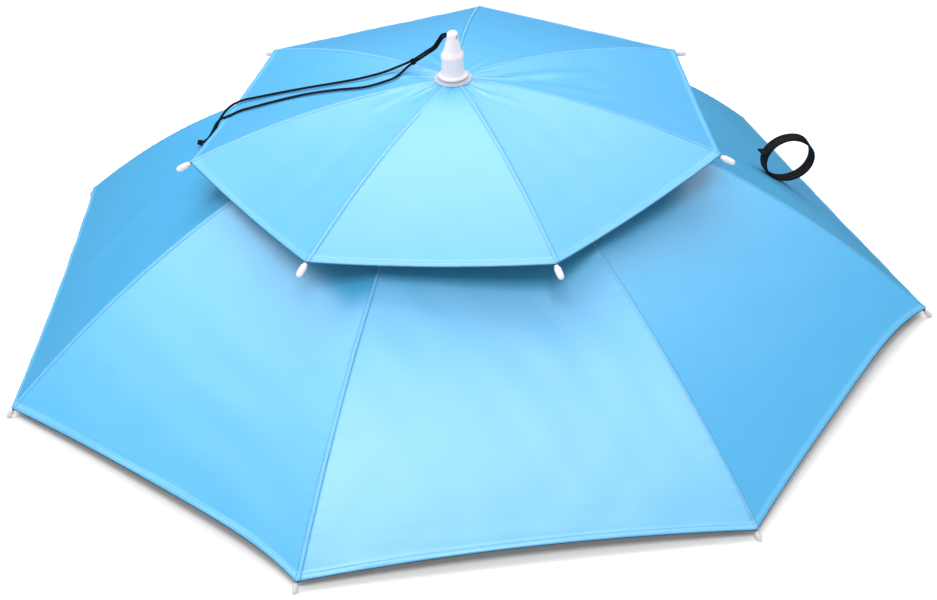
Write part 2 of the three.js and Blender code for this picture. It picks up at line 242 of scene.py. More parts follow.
def threadFinish(name, light, dark):
    finish = Finish(name)
    twist = (finish.noise(2600.0, 1.0) - 0.5) * 1.4 + 0.5
    tone = finish.blend(twist, light, dark)
    return finish.close({
        "Base Color": tone,
        "Roughness": 0.55 + twist * 0.2,
        "Normal": finish.bump(twist, 0.00012, 0.7),
        "Sheen Weight": 0.3,
    })


def braidFinish(name, pitch):
    finish = Finish(name)
    around, along = finish.clothPlace()
    turns, steps = around * (4 * fullTurn), along * (fullTurn / pitch)
    plait = (turns + steps).sine().larger((turns - steps).sine())
    fuzz = finish.noise(1800.0, 2.0)
    tone = finish.blend(plait * 0.35 + fuzz * 0.4, colour(0.002, 0.002, 0.003), colour(0.018, 0.019, 0.026))
    return finish.close({
        "Base Color": tone,
        "Roughness": 0.62 + fuzz * 0.2,
        "Normal": finish.bump(plait * 0.8 + fuzz * 0.4, 0.00022, 0.9),
        "Specular IOR Level": 0.15,
    })


def webbingFinish(name):
    finish = Finish(name)
    across, along = finish.clothPlace()
    cross = (across * (fullTurn / 0.0018)).sine()
    weft = (along * (fullTurn / 0.0015) + cross * 1.6).sine()
    edge = (across.distance() - 0.0048).near(0.0007)
    fuzz = finish.noise(1500.0, 2.0)
    tone = finish.blend(weft * 0.2 + fuzz * 0.5 + 0.1, colour(0.002, 0.002, 0.004), colour(0.014, 0.015, 0.02))
    return finish.close({
        "Base Color": finish.blend(edge * fuzz * 0.7, tone, colour(0.05, 0.053, 0.06)),
        "Roughness": 0.58 + fuzz * 0.18,
        "Normal": finish.bump(cross * 0.35 + weft * 0.5 + fuzz * 0.3, 0.00025, 0.8),
        "Specular IOR Level": 0.15,
    })


def elasticFinish(name):
    finish = Finish(name)
    across, along = finish.clothPlace()
    ribs = (along * (fullTurn / 0.0021)).sine()
    knit = (across * (fullTurn / 0.0012) + ribs * 1.2).sine()
    fuzz = finish.noise(1200.0, 2.0)
    tone = finish.blend(ribs * 0.25 + fuzz * 0.5 + 0.1, colour(0.006, 0.006, 0.008), colour(0.045, 0.046, 0.055))
    return finish.close({
        "Base Color": tone,
        "Roughness": 0.7 + fuzz * 0.15,
        "Normal": finish.bump(ribs * 0.9 + knit * 0.3 + fuzz * 0.2, 0.0004, 0.8),
        "Sheen Weight": 0.1,
    })


def steelFinish(name):
    finish = Finish(name)
    drawnPlace = finish.node("Mapping", {"Vector": finish.objectPlace(), "Scale": (900, 900, 60)})
    drawn = finish.noise(1.0, 3.0, drawnPlace)
    stain = finish.noise(35.0, 3.0)
    return finish.close({
        "Base Color": finish.blend(stain * 0.6, colour(0.62, 0.63, 0.65), colour(0.38, 0.385, 0.4)),
        "Metallic": 1.0,
        "Roughness": 0.2 + drawn * 0.16 + stain * 0.1,
        "Normal": finish.bump(drawn, 0.00004, 0.4),
    })


# a moulding may have a duller rim, outside the radius given
def plasticFinish(name, body, seamLightNoise, rough, clear=1.0, rim=0):
    finish = Finish(name)
    flow = finish.noise(70.0, 3.0)
    grain = finish.noise(1500.0, 2.0)
    scuff = finish.noise(260.0, 4.0)
    marks = finish.node("MapRange", {"Value": scuff, "From Min": 0.60, "From Max": 0.72})
    tone = finish.blend(flow * 0.45, body, seamLightNoise)
    if rim:
        x, y = finish.parts(finish.objectPlace())
        rimSharpness = 4.0 / rim ** 2
        tone = finish.blend((x * x + y * y - rim ** 2) * rimSharpness, tone, colour(0.66, 0.63, 0.66))
    return finish.close({
        "Base Color": finish.blend(marks, tone, seamLightNoise),
        "Roughness": rough + flow * 0.08 + marks * 0.12,
        "Normal": finish.bump(grain * 0.5 + scuff * 0.5, 0.00005, 0.5),
        "Alpha": clear,
        "Subsurface Weight": 0.08,
        "Subsurface Radius": (0.0015, 0.0012, 0.001),
        "Subsurface Scale": 1.0,
    })


finishes = {
    "lowerCloth": clothFinish("sky_blue_cloth", colour(0.066, 0.49, 0.89), colour(0.056, 0.465, 0.855), 0.75),
    "upperCloth": clothFinish("sky_blue_cloth_top", colour(0.084, 0.465, 0.85), colour(0.073, 0.44, 0.815), 0.45),
    "thread": threadFinish("light_blue_thread", colour(0.52, 0.82, 0.97), colour(0.3, 0.68, 0.92)),
    "braid": braidFinish("black_braided_cord", 0.0024),
    "webbing": webbingFinish("black_webbing"),
    "elastic": elasticFinish("black_ribbed_elastic"),
    "steel": steelFinish("plated_spring_wire"),
    "whitePlastic": plasticFinish(
        "white_moulded_plastic", colour(0.86, 0.87, 0.89), colour(0.68, 0.69, 0.71), 0.28),
    "greyPlastic": plasticFinish(
        "grey_moulded_plastic", colour(0.66, 0.67, 0.69), colour(0.5, 0.52, 0.55), 0.4),
    "milkyPlastic": plasticFinish(
        "milky_moulded_plastic", colour(0.93, 0.87, 0.87), colour(0.83, 0.76, 0.77), 0.34, rim=0.0127),
    "clearPlastic": plasticFinish(
        "translucent_washer_plastic", colour(0.88, 0.87, 0.89), colour(0.76, 0.77, 0.8), 0.22, clear=0.4),
}
print("finishes made")


def addMesh(name, mesh, finish):
    mesh.name = name
    piece = bpy.data.objects.new(name, mesh)
    bpy.context.collection.objects.link(piece)
    mesh.materials.clear()
    mesh.materials.append(finish)
    return piece


def addShape(name, shape, finish):
    return addMesh(name, meshFrom(*shape), finishes[finish])


def meshFrom(points, faces, clothMap=None):
    mesh = bpy.data.meshes.new("shape")
    mesh.from_pydata([tuple(p) for p in points], [], faces)
    if clothMap is not None:
        layer = mesh.uv_layers.new(name="clothMap")
        corners = np.array(clothMap, dtype=np.float32).reshape(-1)
        layer.data.foreach_set("uv", corners)
    mesh.shade_smooth()
    mesh.validate()
    mesh.update()
    return mesh


# the mesh of a piece as its modifiers leave it
def shapedMesh(piece):
    return bpy.data.meshes.new_from_object(piece.evaluated_get(bpy.context.evaluated_depsgraph_get()))


# a smooth line through chosen points, closer together where the line bends
def smoothLine(points, steps):
    knots = [Vector(p) for p in points]
    first = 2 * knots[0] - knots[1]
    last = 2 * knots[-1] - knots[-2]
    knots = [first] + knots + [last]
    line = []
    for i in range(1, len(knots) - 2):
        p0, p1, p2, p3 = knots[i - 1:i + 3]
        t1 = math.sqrt((p1 - p0).length)
        t2 = t1 + math.sqrt((p2 - p1).length)
        t3 = t2 + math.sqrt((p3 - p2).length)
        for k in range(steps):
            t = t1 + (t2 - t1) * k / steps
            a1 = p0.lerp(p1, t / t1)
            a2 = p1.lerp(p2, (t - t1) / (t2 - t1))
            a3 = p2.lerp(p3, (t - t2) / (t3 - t2))
            b1 = a1.lerp(a2, t / t2)
            b2 = a2.lerp(a3, (t - t1) / (t3 - t1))
            line.append(b1.lerp(b2, (t - t1) / (t2 - t1)))
    line.append(knots[-2])
    return line


def lengthsAlong(line):
    total, lengths = 0.0, [0.0]
    for before, after in zip(line, line[1:]):
        total += (after - before).length
        lengths.append(total)
    return lengths


# carries a section along a line; ups gives the section's own upward direction at each point
def sweep(line, section, ups=None, closed=False):
    count, sides = len(line), len(section)
    tangents = []
    for i in range(count):
        before = line[i - 1] if i or closed else line[0]
        after = line[(i + 1) % count] if i < count - 1 or closed else line[-1]
        tangents.append((after - before).normalized())
    if ups is None:
        up = tangents[0].orthogonal().normalized()
        ups = []
        for tangent in tangents:
            up = (up - tangent * up.dot(tangent)).normalized()
            ups.append(up)
    points = []
    for i in range(count):
        side = tangents[i].cross(ups[i]).normalized()
        level = side.cross(tangents[i]).normalized()
        points += [line[i] + x * side + y * level for x, y in section]
    lengths = lengthsAlong(line + [line[0]] if closed else line)
    around = [0.0]
    for (x0, y0), (x1, y1) in zip(section, section[1:] + section[:1]):
        around.append(around[-1] + math.hypot(x1 - x0, y1 - y0))
    whole = around[-1]
    faces, clothMap = [], []
    for i in range(count if closed else count - 1):
        j = (i + 1) % count
        for k in range(sides):
            m = (k + 1) % sides
            faces.append((i * sides + k, j * sides + k, j * sides + m, i * sides + m))
            low, high = around[k] / whole, around[k + 1] / whole
            clothMap += [(low, lengths[i]), (low, lengths[i + 1]), (high, lengths[i + 1]), (high, lengths[i])]
    if not closed:
        faces.append(tuple(range(sides)))
        faces.append(tuple((count - 1) * sides + k for k in range(sides - 1, -1, -1)))
        clothMap += [(0, 0)] * sides + [(0, lengths[-1])] * sides
    return points, faces, clothMap


def roundSection(radius, sides):
    step = fullTurn / sides
    return [(radius * math.cos(step * k), radius * math.sin(step * k)) for k in range(sides)]


def joinShapes(shapes):
    points, faces, clothMap = [], [], []
    for morePoints, moreFaces, moreMap in shapes:
        base = len(points)
        points += list(morePoints)
        faces += [tuple(base + corner for corner in face) for face in moreFaces]
        clothMap += list(moreMap)
    return points, faces, clothMap


# turned shape about +Z: rows of radius and height, closed on itself or at the axis
def turnedShape(rows, sides, closed=False):
    points, faces, clothMap, rings = [], [], [], []
    for radius, height in rows:
        if radius < 1e-9:
            rings.append([len(points)] * sides)
            points.append(Vector((0, 0, height)))
        else:
            rings.append([len(points) + k for k in range(sides)])
            points += [aroundAxis(radius, fullTurn * k / sides, height) for k in range(sides)]
    pairs = list(zip(rings, rings[1:]))
    if closed:
        pairs.append((rings[-1], rings[0]))
    run = 0.0
    for (low, high), first, second in zip(pairs, rows, rows[1:] + rows[:1]):
        end = run + math.dist(first, second)
        for k in range(sides):
            m = (k + 1) % sides
            left, right = k / sides, (k + 1) / sides
            face = [low[k], low[m], high[m], high[k]]
            patch = [(left, run), (right, run), (right, end), (left, end)]
            kept = [i for i in range(4) if face[i] not in face[:i]]
            faces.append(tuple(face[i] for i in kept))
            clothMap += [patch[i] for i in kept]
        run = end
    return points, faces, clothMap


# faces of a closed shell: an outer and an inner sheet, each of rows round the axis, joined at both rims
def shellFaces(rows, around, mapped):
    def at(sheet, row, column):
        return (sheet * rows + row) * around + column % around

    faces, clothMap = [], []
    for column in range(around):
        for row in range(rows - 1):
            corners = [(row, 0), (row + 1, 0), (row + 1, 1), (row, 1)]
            for sheet, ordered in ((0, corners), (1, corners[::-1])):
                faces.append(tuple(at(sheet, r, column + step) for r, step in ordered))
                clothMap += [mapped(r, column, step) for r, step in ordered]
        for row, left, right in ((0, column, column + 1), (rows - 1, column + 1, column)):
            faces.append((at(0, row, left), at(0, row, right), at(1, row, right), at(1, row, left)))
            clothMap += [mapped(row, column, 0)] * 4
    return faces, clothMap


# hanging cord: two strands from the eye of the ferrule to the end knot
cordForm = {
    "radius": 0.0012,
    "lift": 0.0002,
    "sides": 12,
    "stepsBetweenPoints": 7,
    "upper": [
        (0.0008, -0.0005, 0.3081), (-0.0043, 0.0025, 0.3081), (-0.0082, 0.0052, 0.3062),
        (-0.0127, 0.0083, 0.2987), (-0.0169, 0.0114, 0.2909), (-0.0245, 0.0164, 0.2832),
        (-0.0314, 0.0205, 0.2764), (-0.0384, 0.0249, 0.2697), (-0.0448, 0.0288, 0.2648),
        (-0.0517, 0.0315, 0.2606), (-0.067, 0.0289, 0.2563), (-0.0903, 0.0274, 0.2516),
        (-0.1177, 0.0329, 0.2446), (-0.1414, 0.0413, 0.237), (-0.1697, 0.0538, 0.2261),
        (-0.1944, 0.0666, 0.2151), (-0.2113, 0.0765, 0.2066), (-0.2211, 0.0732, 0.2035),
        (-0.2265, 0.071, 0.1996), (-0.2315, 0.068, 0.1943), (-0.2352, 0.068, 0.1875),
        (-0.2397, 0.0739, 0.1765), (-0.2465, 0.087, 0.1605), (-0.2535, 0.098, 0.1502),
        (-0.2564, 0.1013, 0.1478),
    ],
    "lower": [
        (0.0008, -0.0005, 0.3057), (-0.0041, 0.0024, 0.3058), (-0.0072, 0.0044, 0.304),
        (-0.0111, 0.0072, 0.2973), (-0.0153, 0.0103, 0.2895), (-0.0232, 0.0155, 0.2814),
        (-0.0301, 0.0196, 0.2746), (-0.0371, 0.024, 0.2679), (-0.0422, 0.0266, 0.2631),
        (-0.0465, 0.024, 0.2606), (-0.0505, 0.019, 0.2594), (-0.057, 0.0125, 0.2583),
        (-0.067, 0.0083, 0.2569), (-0.0843, 0.005, 0.2543), (-0.1133, 0.0153, 0.247),
        (-0.141, 0.0259, 0.2385), (-0.1689, 0.0349, 0.2284), (-0.1953, 0.0433, 0.2176),
        (-0.2118, 0.0502, 0.2096), (-0.2239, 0.0494, 0.2046), (-0.2293, 0.0505, 0.2022),
        (-0.2335, 0.055, 0.1968), (-0.237, 0.062, 0.1895), (-0.2419, 0.0722, 0.1765),
        (-0.2487, 0.086, 0.1605), (-0.2557, 0.0969, 0.1502), (-0.258, 0.0996, 0.1478),
    ],
    "slider": (-0.0378, 0.0245, 0.2688),
    "sliderAhead": (-0.044, 0.028, 0.2629),
    "sliderLength": 0.0042,
    "endKnot": (-0.2593, 0.1034, 0.1465),
    "endKnotRadius": 0.0032,
}


def addStrand(name, points, own):
    line = smoothLine([Vector(p) + Vector((0, 0, own["lift"])) for p in points], own["stepsBetweenPoints"])
    shape = sweep(line, roundSection(own["radius"], own["sides"]))
    strand = addShape(name, shape, "braid")
    return strand, line


# an overhand knot: a short rope wound round a plain core
def knotShape(middle, radius, strandRadius, coreRadius, tilt):
    steps, reach, line = 60, radius - strandRadius, []
    tip = Matrix.Rotation(tilt, 3, "X") @ Matrix.Rotation(0.5 * tilt, 3, "Y")
    for i in range(steps):
        turn, lean = 2 * fullTurn * i / steps, 3 * fullTurn * i / steps
        point = aroundAxis(reach * (0.62 + 0.38 * math.cos(lean)), turn, reach * 0.8 * math.sin(lean))
        line.append(middle + tip @ point)
    leans = [math.pi * i / 12 for i in range(13)]
    rows = [(coreRadius * math.sin(lean), -coreRadius * math.cos(lean)) for lean in leans]
    points, faces, clothMap = turnedShape(rows, 20)
    core = ([middle + point for point in points], faces, clothMap)
    return joinShapes([core, sweep(line, roundSection(strandRadius, 10), closed=True)])


def addCordKnots(own):
    radius = own["endKnotRadius"]
    endShape = knotShape(Vector(own["endKnot"]), radius, own["radius"], 0.62 * radius, 0.6)
    low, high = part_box("cord_eye_knot")
    middle, radius = (Vector(low) + Vector(high)) / 2, (high[2] - low[2]) / 2
    eyeShape = knotShape(middle, radius, 0.42 * radius, 0.7 * radius, 1.1)
    endKnot = addShape("cord_end_knot_braid", endShape, "braid")
    eyeKnot = addShape("cord_eye_knot_braid", eyeShape, "braid")
    return endKnot, eyeKnot


# a bound collar of the same cord round both strands
def addSlider(own):
    middle, ahead = Vector(own["slider"]), Vector(own["sliderAhead"])
    direction = (ahead - middle).normalized()
    apart = Vector(own["upper"][7]) - Vector(own["lower"][7])
    side = (apart - direction * apart.dot(direction)).normalized()
    other = direction.cross(side)
    wireRadius, turns, steps = 0.0005, 4, 26
    narrow = own["radius"] + wireRadius * 0.6
    wide = apart.length / 2 + narrow
    line = []
    for i in range(turns * steps + 1):
        turn = fullTurn * i / steps
        along = own["sliderLength"] * (i / (turns * steps) - 0.5) * 0.8
        line.append(middle + direction * along + wide * math.cos(turn) * side + narrow * math.sin(turn) * other)
    return addShape("cord_slider_binding", sweep(line, roundSection(wireRadius, 8)), "braid")


upperStrand, upperLine = addStrand("hang_cord_upper_braid", cordForm["upper"], cordForm)
lowerStrand, lowerLine = addStrand("hang_cord_lower_braid", cordForm["lower"], cordForm)
endKnot, eyeKnot = addCordKnots(cordForm)
slider = addSlider(cordForm)
for piece, node in (
    (upperStrand, "hang_cord_upper"),
    (lowerStrand, "hang_cord_lower"),
    (endKnot, "cord_end_knot"),
    (eyeKnot, "cord_eye_knot"),
    (slider, "cord_slider"),
):
    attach(piece, "root")
    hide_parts(node)
lengthsAlong(upperLine)[-1]
lengthsAlong(lowerLine)[-1]
print("cord strands:", [round(lengthsAlong(line)[-1], 3) for line in (upperLine, lowerLine)], "m")


# both cloth tiers, by the rules and sizes of the CAD solids; the hems follow the photograph more closely
tierForm = {
    "panels": 7,
    "wall": 0.0012,
    "ribGap": 0.00035,
    "seatGap": 0.0003,
    "ribInTip": 0.0055,
    "peakGap": 0.0091,  # from the peak of the lower ridges up to the peak of the upper ones
    "tipFoot": 0.0003,
    "tipBoreGap": 0.0001,
    "skewScale": 15,  # a skewed hem is then hollow by its hemSkew at the deepest point
}
lowerTier = {
    "name": "lower",
    "reach": 0.465,
    "rise": 0.2429,
    "startSlope": 0.186,
    "firstAngle": 147.48,
    "hemHollow": [0.006] * 7,
    "hemSkew": [0, 0.0038, 0, 0.0050, 0, 0, 0],
    "hemDroop": [0] * 7,
    "panelSag": 0.003,
    "ribRadius": 0.0012,
    "tipLength": 0.010,
    "tipRadius": 0.0024,
    "holeRadius": 0.130,
    "ribs": [(-0.1, 1.013), (0.2, 1), (-0.4, 0.997), (0.3, 1.004), (-0.7, 0.988), (1.6, 0.999), (0, 1)],
}
upperTier = {
    "name": "upper",
    "reach": 0.2613,
    "rise": 0.057,
    "startSlope": 0.1375,
    "firstAngle": 134.7,
    "hemHollow": [0] * 7,
    "hemSkew": [0] * 7,
    "hemDroop": [0.004, 0.004, 0.004, 0.004, 0.002, 0, 0],
    "panelSag": 0.001,
    "ribRadius": 0.001,
    "tipLength": 0.015,
    "tipRadius": 0.0032,
    "holeRadius": 0.0054,
    "ribs": [(0, 0.988), (1.7, 0.987), (0.4, 1.015), (-0.5, 1.005), (3.3, 0.993), (-0.1, 1.015), (-0.4, 0.998)],
}


def fallOf(own, share):
    return own["rise"] / own["reach"] * (own["startSlope"] + 2 * (1 - own["startSlope"]) * share)


def wallDown(own, share):
    steep = fallOf(own, share) / math.cos(math.pi / tierForm["panels"])
    return tierForm["wall"] * np.hypot(1, steep)


def ribDepth(own, share):
    pitch = np.arctan(fallOf(own, share))
    ridge = np.arctan(math.tan(math.pi / tierForm["panels"]) * np.sin(pitch))
    return wallDown(own, share) * np.cos(pitch) + (own["ribRadius"] + tierForm["ribGap"]) / np.cos(ridge)


def tipStart(own):
    return wallDown(own, 1) * math.sin(math.atan(fallOf(own, 1))) + tierForm["seatGap"]


def setHemHeights():
    pitch = math.atan(fallOf(lowerTier, 1))
    tipEnd = tipStart(lowerTier) + lowerTier["tipLength"]
    ribDrop = ribDepth(lowerTier, 1) * math.cos(pitch)
    lowerTier["hemHeight"] = ribDrop + tipEnd * math.sin(pitch) + tierForm["tipFoot"]
    upperTier["hemHeight"] = lowerTier["hemHeight"] + lowerTier["rise"] + tierForm["peakGap"] - upperTier["rise"]
    even = 360 / tierForm["panels"] * np.arange(tierForm["panels"])
    for own in (lowerTier, upperTier):
        turns, shares = np.array(own["ribs"]).T
        own["angles"] = np.radians(own["firstAngle"] + even + turns)
        own["reaches"] = own["reach"] * shares


setHemHeights()


def ridgeHeight(own, share):
    start = own["startSlope"]
    return own["hemHeight"] + own["rise"] * (1 - start * share - (1 - start) * share * share)


def ridgePoints(own, rib, share):
    rib %= tierForm["panels"]
    radius, angle = own["reaches"][rib] * share, own["angles"][rib]
    return np.stack([radius * np.cos(angle), radius * np.sin(angle), ridgeHeight(own, share)], axis=-1)


# width of a panel between its two ridges
def chordAt(own, panel, share):
    return np.linalg.norm(ridgePoints(own, panel, share) - ridgePoints(own, panel + 1, share), axis=-1)


# smooth outer face of the cloth, before seams and folds
def clothPoints(own, panel, across, along):
    bulge = 4 * across * (1 - across)
    skew = tierForm["skewScale"] * across ** 5 * (1 - across)
    hollow = bulge * own["hemHollow"][panel] + skew * own["hemSkew"][panel]
    share = along - hollow / own["reach"] * along ** 4
    first, second = ridgePoints(own, panel, share), ridgePoints(own, panel + 1, share)
    points = first + (second - first) * across[..., None]
    droop = own["hemDroop"][panel] * along ** 2
    points[..., 2] -= bulge * (droop + own["panelSag"] * 4 * along * (1 - along))
    return points


def clothNormals(own, panel, across, along):
    step = 0.001
    side = clothPoints(own, panel, across + step, along) - clothPoints(own, panel, across - step, along)
    outward = clothPoints(own, panel, across, along + step) - clothPoints(own, panel, across, along - step)
    normals = np.cross(outward, side)
    return normals / np.linalg.norm(normals, axis=-1, keepdims=True)


# what sewing and tension do to the cloth, in metres off the smooth face
sewing = {
    "seamWidth": 0.0032,
    "seamHeight": 0.00055,
    "needleLine": 0.0016,
    "needleDepth": 0.00028,
    "hemWidth": 0.0055,
    "hemHeight": 0.00035,
    "hemNeedleLine": 0.0044,
    "puckerPitch": 0.0085,
    "puckerDepth": 0.00022,
    "puckerReach": 0.011,
    "rippleDepth": 0.00018,
    "rippleReach": 0.018,
    "gatherDepth": 0.0004,
    "unevenDepth": 0.000225,
}


# soft folds: angle and radius of both ends, half width and height
foldForm = {
    "upper": [
        (-12, 0.030, 16, 0.150, 0.0050, 0.00080),
        (12, 0.026, 30, 0.120, 0.0045, 0.00060),
        (-8, 0.060, -2, 0.170, 0.0060, 0.00050),
        (172, 0.024, 158, 0.090, 0.0040, 0.00055),
        (196, 0.022, 205, 0.095, 0.0045, 0.00050),
        (62, 0.024, 70, 0.130, 0.0045, 0.00060),
        (106, 0.022, 112, 0.120, 0.0045, 0.00055),
        (232, 0.024, 226, 0.075, 0.0040, 0.00035),
        (318, 0.024, 326, 0.085, 0.0040, 0.00040),
    ],
    "lower": [
        (8, 0.400, 14, 0.300, 0.0100, 0.00060),
        (178, 0.410, 168, 0.300, 0.0110, 0.00060),
        (214, 0.420, 222, 0.330, 0.0110, 0.00050),
        (318, 0.410, 310, 0.320, 0.0110, 0.00050),
        (60, 0.400, 66, 0.300, 0.0100, 0.00060),
        (118, 0.410, 112, 0.300, 0.0100, 0.00050),
    ],
}


def smoothStep(low, high, value):
    t = np.clip((value - low) / (high - low), 0, 1)
    return t * t * (3 - 2 * t)


def foldHeights(points, folds):
    heights = np.zeros(points.shape[:-1])
    flat = points[..., :2]
    for startAngle, startRadius, endAngle, endRadius, width, height in folds:
        turns, radii = np.radians([startAngle, endAngle]), np.array([startRadius, endRadius])
        start, end = np.stack([radii * np.cos(turns), radii * np.sin(turns)], axis=-1)
        run = end - start
        along = ((flat - start) @ run) / (run @ run)
        away = np.linalg.norm(flat - start - np.clip(along, 0, 1)[..., None] * run, axis=-1)
        bend = away / width
        fade = smoothStep(-0.05, 0.3, along) * (1 - smoothStep(0.6, 1.05, along))
        heights += height * fade * (np.exp(-bend ** 2) - 0.35 * np.exp(-((bend - 2) ** 2)))
    return heights


# 1 on the doubled cloth of a seam or a hem, 0 beside it
def onSeam(seamSide, before, after):
    width = sewing["seamWidth"]
    return smoothStep(-before, 0.0002, seamSide) * (1 - smoothStep(width, width + after, seamSide))


def onHem(hemAway, after):
    return 1 - smoothStep(sewing["hemWidth"], sewing["hemWidth"] + after, hemAway)


def reliefHeights(own, points, seamSide, hemAway, runLength):
    seamAway = np.abs(seamSide)
    x, y = points[..., 0], points[..., 1]
    heights = sewing["seamHeight"] * onSeam(seamSide, 0.0006, 0.0007)
    heights += sewing["hemHeight"] * onHem(hemAway, 0.0008)
    heights -= sewing["needleDepth"] * np.exp(-((seamSide - sewing["needleLine"]) / 0.0006) ** 2)
    heights -= sewing["needleDepth"] * np.exp(-((hemAway - sewing["hemNeedleLine"]) / 0.0007) ** 2)
    phase = fullTurn * runLength / sewing["puckerPitch"]
    wander = 1.7 * np.sin(phase * 0.23) + 1.1 * np.sin(phase * 0.071 + 1)
    fade = np.exp(-seamAway / sewing["puckerReach"])
    heights += sewing["puckerDepth"] * fade * np.sin(phase + wander + 60 * seamSide)
    hemFade = np.exp(-hemAway / sewing["rippleReach"]) * smoothStep(0.01, 0.03, seamAway)
    heights += sewing["rippleDepth"] * hemFade * np.sin(fullTurn * (x * 71 + y * 83))
    uneven = np.sin(x * 61 + 3 * np.sin(y * 23)) * np.sin(y * 57 + 2 * np.sin(x * 29))
    uneven += 0.5 * np.sin(x * 131 + y * 97)
    heights += sewing["unevenDepth"] * uneven * smoothStep(0.004, 0.03, seamAway)
    if own["name"] == "upper":
        radius, angle = np.hypot(x, y), np.arctan2(y, x)
        gathers = np.sin(21 * angle + 2 * np.sin(3 * angle)) + 0.7 * np.sin(34 * angle + 1.3)
        fade = np.exp(-((radius - 0.022) / 0.024) ** 2) * smoothStep(0.002, 0.006, seamAway)
        heights += sewing["gatherDepth"] * gathers * fade
    return heights


# signed distance from the nearer seam, distance from the hem, and length down the slope
def panelFacts(own, panel, across, along):
    chord = chordAt(own, panel, along)
    nearFirst, nearSecond = across * chord, (1 - across) * chord
    seamSide = np.where(nearFirst < nearSecond, nearFirst, -nearSecond)
    hemAway = (1 - along) * own["reach"] * np.sqrt(1 + fallOf(own, along) ** 2)
    return seamSide, hemAway, along * own["reach"] * (1 + 0.06 * along)


def outerFace(own, panel, across, along):
    points = clothPoints(own, panel, across, along)
    normals = clothNormals(own, panel, across, along)
    seamSide, hemAway, runLength = panelFacts(own, panel, across, along)
    folds = foldHeights(points, foldForm[own["name"]])
    folds *= smoothStep(0.006, 0.02, np.abs(seamSide)) * smoothStep(0.012, 0.04, hemAway)
    heights = reliefHeights(own, points, seamSide, hemAway, runLength)
    return points + (heights + folds)[..., None] * normals, folds, normals


# columns lie close together beside the seams and the rows beside the hem
canopyGrid = {
    "seamSteps": [
        0, 0.0004, 0.0008, 0.0012, 0.0016, 0.0020, 0.0026, 0.0031, 0.0036, 0.0042, 0.0065, 0.010, 0.015, 0.022,
    ],
    "middleColumns": 26,
    "seamShare": 0.32,  # at most this share of a narrow panel lies beside each seam
    "hemSteps": [0, 0.0008, 0.0024, 0.0036, 0.0040, 0.0044, 0.0048, 0.0054, 0.0059, 0.0066, 0.009, 0.013, 0.020],
    "rows": {"lower": 96, "upper": 74},
}


def columnShares(chord):
    steps = np.array(canopyGrid["seamSteps"])
    near = steps * np.minimum(1.0, canopyGrid["seamShare"] * chord / steps[-1]) / chord
    gaps = canopyGrid["middleColumns"] + 1
    middle = near[:, -1:] + (1 - 2 * near[:, -1:]) * np.arange(1, gaps) / gaps
    return np.concatenate([near, middle, 1 - near[:, :0:-1]], axis=1)


def rowShares(own):
    slope = math.sqrt(1 + fallOf(own, 1) ** 2)
    near = 1 - np.array(canopyGrid["hemSteps"]) / (own["reach"] * slope)
    start = own["holeRadius"] / own["reach"]
    inner = np.linspace(0, 1, canopyGrid["rows"][own["name"]])
    bend = inner ** 1.25 if own["name"] == "upper" else inner
    return np.concatenate([start + (near[-1] - start) * bend[:-1], near[::-1]])


# how far each point is from the sewing, for the cloth's finish: these marks place the painted highlight on the
# doubled cloth and the painted shade along needle lines and seam edges
def sewingMarks(seamSide, hemAway):
    needles = np.abs(seamSide - sewing["needleLine"]), np.abs(hemAway - sewing["hemNeedleLine"])
    creases = np.abs(seamSide + 0.0006), np.abs(seamSide - sewing["seamWidth"] - 0.0005)
    return {
        "doubledHighlight": np.maximum(onSeam(seamSide, 0.0004, 0.0005), onHem(hemAway, 0.0005)),
        "needleAway": np.minimum(*needles),
        "creaseAway": np.minimum(*creases),
    }


def addCanopy(own, name, finish):
    along = rowShares(own)[:, None]
    outer, inner, seams, hems, mapX = [], [], [], [], []
    for panel in range(tierForm["panels"]):
        chord = chordAt(own, panel, along)
        across = columnShares(chord)
        alongs = along + 0 * across
        points, folds, normals = outerFace(own, panel, across, alongs)
        # the lining lies one wall lower and rises into the folds
        lined = clothPoints(own, panel, across, alongs)
        lined[..., 2] -= wallDown(own, alongs)
        lined += (np.maximum(folds, 0) * 0.8)[..., None] * normals
        seamSide, hemAway, runLength = panelFacts(own, panel, across, alongs)
        for whole, part in ((outer, points), (inner, lined), (seams, seamSide), (hems, hemAway)):
            whole.append(part)
        mapX.append((np.append(across, np.ones_like(along), axis=1) - 0.5) * chord)
    columns = across.shape[1]
    outer, inner, seams, hems = (np.concatenate(whole, axis=1) for whole in (outer, inner, seams, hems))
    rows, around = seams.shape

    def mapped(row, column, step):
        panel, place = divmod(column, columns)
        return mapX[panel][row, place + step], runLength[row, 0]

    points = np.concatenate([outer.reshape(-1, 3), inner.reshape(-1, 3)])
    mesh = meshFrom(points, *shellFaces(rows, around, mapped))
    marks = {key: np.concatenate([values.reshape(-1)] * 2) for key, values in sewingMarks(seams, hems).items()}
    marks["inside"] = np.repeat([0.0, 1.0], rows * around)
    for key, values in marks.items():
        layer = mesh.attributes.new(key, "FLOAT", "POINT")
        layer.data.foreach_set("value", values.astype(np.float32))
    area = sum(float(panelArea(own, panel)) for panel in range(tierForm["panels"]))
    return addMesh(name, mesh, finish), area


# flat area of one panel as cut, from its chords and its length down the slope
def panelArea(own, panel):
    shares = np.linspace(own["holeRadius"] / own["reach"], 1, 60)
    chords = chordAt(own, panel, shares)
    middle = clothPoints(own, panel, np.full(60, 0.5), shares)
    steps = np.linalg.norm(np.diff(middle, axis=0), axis=-1)
    return np.sum(steps * (chords[:-1] + chords[1:]) / 2)


